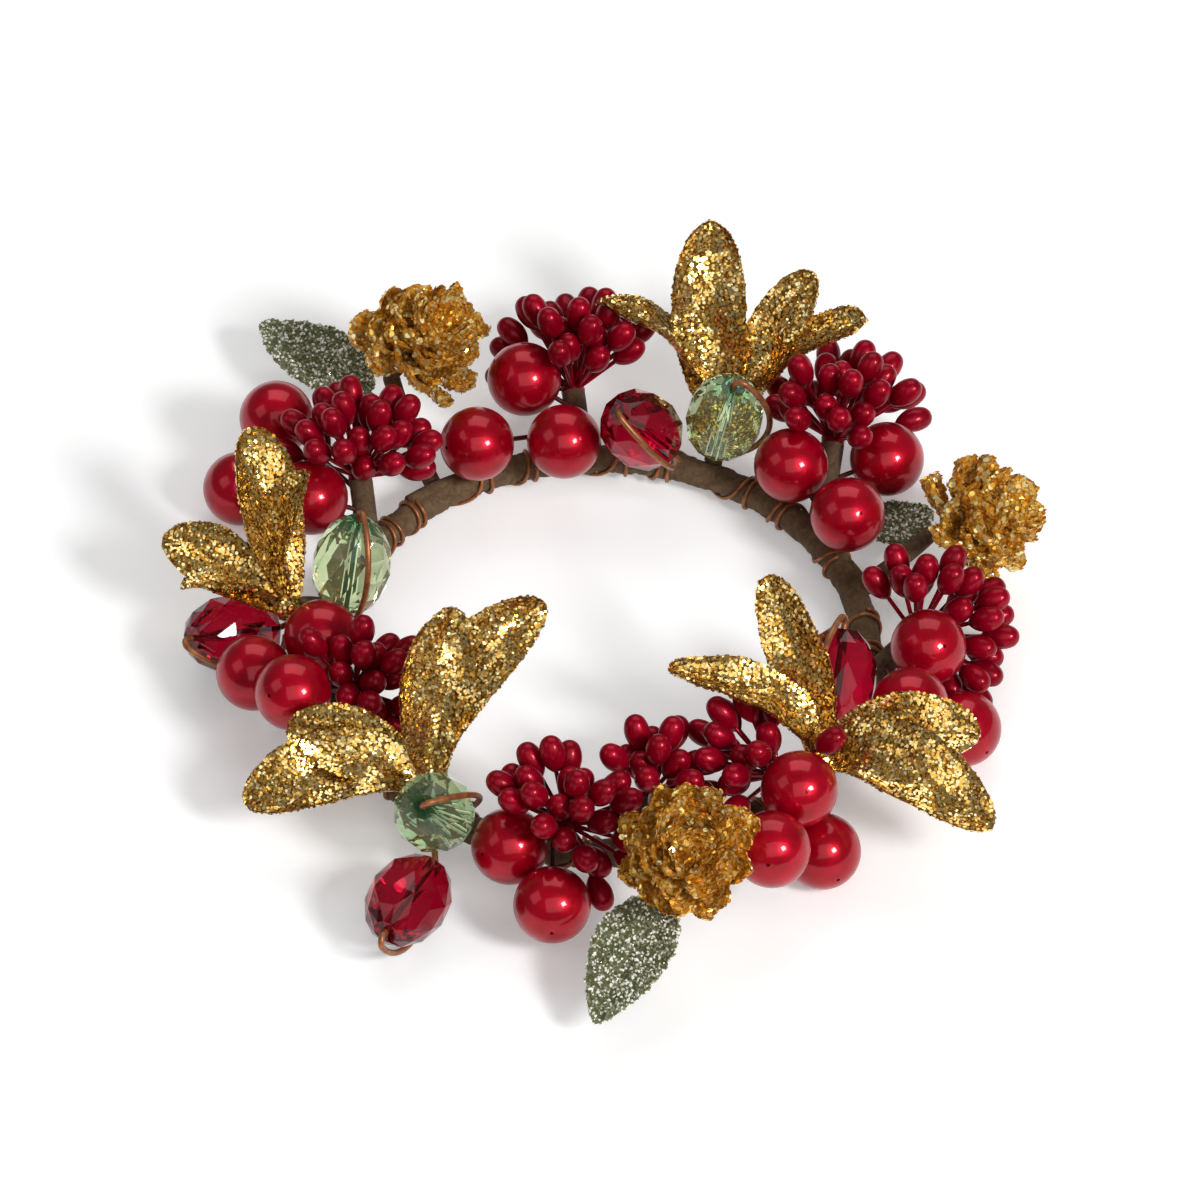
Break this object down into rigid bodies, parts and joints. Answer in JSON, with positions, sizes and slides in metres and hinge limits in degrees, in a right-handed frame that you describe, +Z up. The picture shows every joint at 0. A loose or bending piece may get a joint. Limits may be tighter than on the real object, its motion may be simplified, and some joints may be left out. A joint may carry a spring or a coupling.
{
  "type": "candle ring",
  "caption": "Ring of wired berries, pips, gold lilies, cones, leaves and faceted beads bound to a paper-wrapped hoop, laid round the foot of a pillar candle.",
  "frame": {"origin": "on the hoop axis at table level, the middle of the candle opening", "axes": "+Z up along the hoop axis; the viewer of the picture looks along +Y and down; +X to the viewer right"},
  "size_m": [0.1384, 0.149, 0.0367],
  "materials": {
    "core_wire": "drawn wire",
    "paper_wrap": "wrinkled brown paper",
    "paper_tape": "brown paper tape",
    "copper_wire": "copper-brown lacquered wire",
    "red_wire": "dark red wire",
    "berries": "high-gloss red lacquer",
    "pips": "glossy dark crimson",
    "gold_glitter": "gold glitter on a stiff sheet",
    "frosted_leaf": "green, frosted with clear granules",
    "green_bead": "clear green, faceted",
    "red_bead": "clear red, faceted"
  },
  "bodies": {
    "ring": {"hoop_core_wire": "core_wire", "hoop_paper_wrap": "paper_wrap", "binding_wire": "copper_wire", "stalk_back": "paper_tape", "stalk_back_right": "paper_tape", "stalk_right": "paper_tape", "stalk_front_right": "paper_tape", "stalk_front": "paper_tape", "stalk_front_left": "paper_tape", "stalk_left": "paper_tape", "stalk_back_left": "paper_tape", "pip_bunch_back": "pips", "pip_bunch_back_right": "pips", "pip_bunch_right": "pips", "pip_bunch_front_right": "pips", "pip_bunch_front": "pips", "pip_bunch_front_left": "pips", "pip_bunch_left": "pips", "pip_bunch_back_left": "pips", "berries_back": "berries", "berries_back_right": "berries", "berries_right": "berries", "berries_front_right": "berries", "berries_front_left": "berries", "berries_left": "berries", "berries_back_left": "berries", "berry_wires_back": "red_wire", "berry_wires_back_right": "red_wire", "berry_wires_right": "red_wire", "berry_wires_front_right": "red_wire", "berry_wires_front_left": "red_wire", "berry_wires_left": "red_wire", "berry_wires_back_left": "red_wire", "lily_back": "gold_glitter", "lily_left": "gold_glitter", "lily_front": "gold_glitter", "lily_right": "gold_glitter", "lily_stalk_back": "paper_tape", "lily_stalk_left": "paper_tape", "lily_stalk_front": "paper_tape", "lily_stalk_right": "paper_tape", "green_bead_wires": "copper_wire", "red_bead_wires": "copper_wire", "cone_back_left": "gold_glitter", "cone_right": "gold_glitter", "cone_front": "gold_glitter", "cone_stalk_back_left": "paper_tape", "cone_stalk_right": "paper_tape", "cone_stalk_front": "paper_tape", "leaf_back_left": "frosted_leaf", "leaf_right": "frosted_leaf", "leaf_front": "frosted_leaf"},
    "green_bead_back": {"green_bead_back": "green_bead"},
    "green_bead_left": {"green_bead_left": "green_bead"},
    "green_bead_front": {"green_bead_front": "green_bead"},
    "red_bead_back": {"red_bead_back": "red_bead"},
    "red_bead_left": {"red_bead_left": "red_bead"},
    "red_bead_front": {"red_bead_front": "red_bead"},
    "red_bead_right": {"red_bead_right": "red_bead"}
  },
  "joints": [
    {"name": "green_bead_back_turn", "type": "hinge", "parent": "ring", "child": "green_bead_back", "pos_m": [0.02019, 0.03975, 0.0165], "axis": [0.1513, -0.1476, 0.9774], "continuous": true},
    {"name": "green_bead_left_turn", "type": "hinge", "parent": "ring", "child": "green_bead_left", "pos_m": [-0.03911, 0.00627, 0.0175], "axis": [0.1423, 0.2859, 0.9476], "continuous": true},
    {"name": "green_bead_front_turn", "type": "hinge", "parent": "ring", "child": "green_bead_front", "pos_m": [-0.02542, -0.04456, 0.0158], "axis": [-0.1795, -0.5712, 0.8009], "continuous": true},
    {"name": "red_bead_back_turn", "type": "hinge", "parent": "ring", "child": "red_bead_back", "pos_m": [0.00681, 0.0365, 0.017], "axis": [-0.4155, -0.3697, 0.8311], "continuous": true},
    {"name": "red_bead_left_turn", "type": "hinge", "parent": "ring", "child": "red_bead_left", "pos_m": [-0.0581, 0.0011, 0.0072], "axis": [-0.7532, -0.5144, 0.4099], "continuous": true},
    {"name": "red_bead_front_turn", "type": "hinge", "parent": "ring", "child": "red_bead_front", "pos_m": [-0.02938, -0.0558, 0.0081], "axis": [-0.4104, -0.8994, 0.1502], "continuous": true},
    {"name": "red_bead_right_turn", "type": "hinge", "parent": "ring", "child": "red_bead_right", "pos_m": [0.03708, -0.01878, 0.0177], "axis": [0.1392, 0.6912, 0.7091], "continuous": true}
  ]
}
